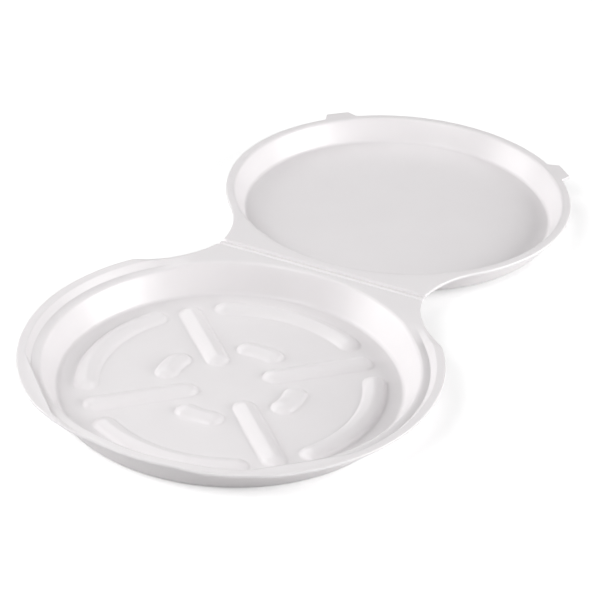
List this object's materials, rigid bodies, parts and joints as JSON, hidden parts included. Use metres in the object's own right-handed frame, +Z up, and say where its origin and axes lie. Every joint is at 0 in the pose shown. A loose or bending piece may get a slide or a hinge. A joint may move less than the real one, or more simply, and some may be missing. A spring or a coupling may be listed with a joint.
{
  "type": "hinged foam plate",
  "caption": "Round white foam plate with a hinged lid, lying open: ribbed tray with a stepped rim, a scored hinge and a plain lid with tuck tabs, for takeaway food.",
  "frame": {"origin": "Middle of the tray's underside, on the surface that it stands on", "axes": "+Z up, +Y from the tray across the hinge to the open lid, +X along the hinge"},
  "size_m": [0.242, 0.4538, 0.0226],
  "materials": {
    "foam": "satin white expanded foam sheet"
  },
  "bodies": {
    "base_tray": {"base_tray": "foam"},
    "hinge_strip": {"hinge_strip": "foam"},
    "lid": {"lid": "foam"}
  },
  "joints": [
    {"name": "base_fold", "type": "hinge", "parent": "base_tray", "child": "hinge_strip", "pos_m": [0, 0.1126, 0.018], "axis": [1, 0, 0], "range_deg": [0, 89.6]},
    {"name": "lid_fold", "type": "hinge", "parent": "hinge_strip", "child": "lid", "pos_m": [0, 0.1174, 0.018], "axis": [1, 0, 0], "range_deg": [0, 89.6]}
  ]
}
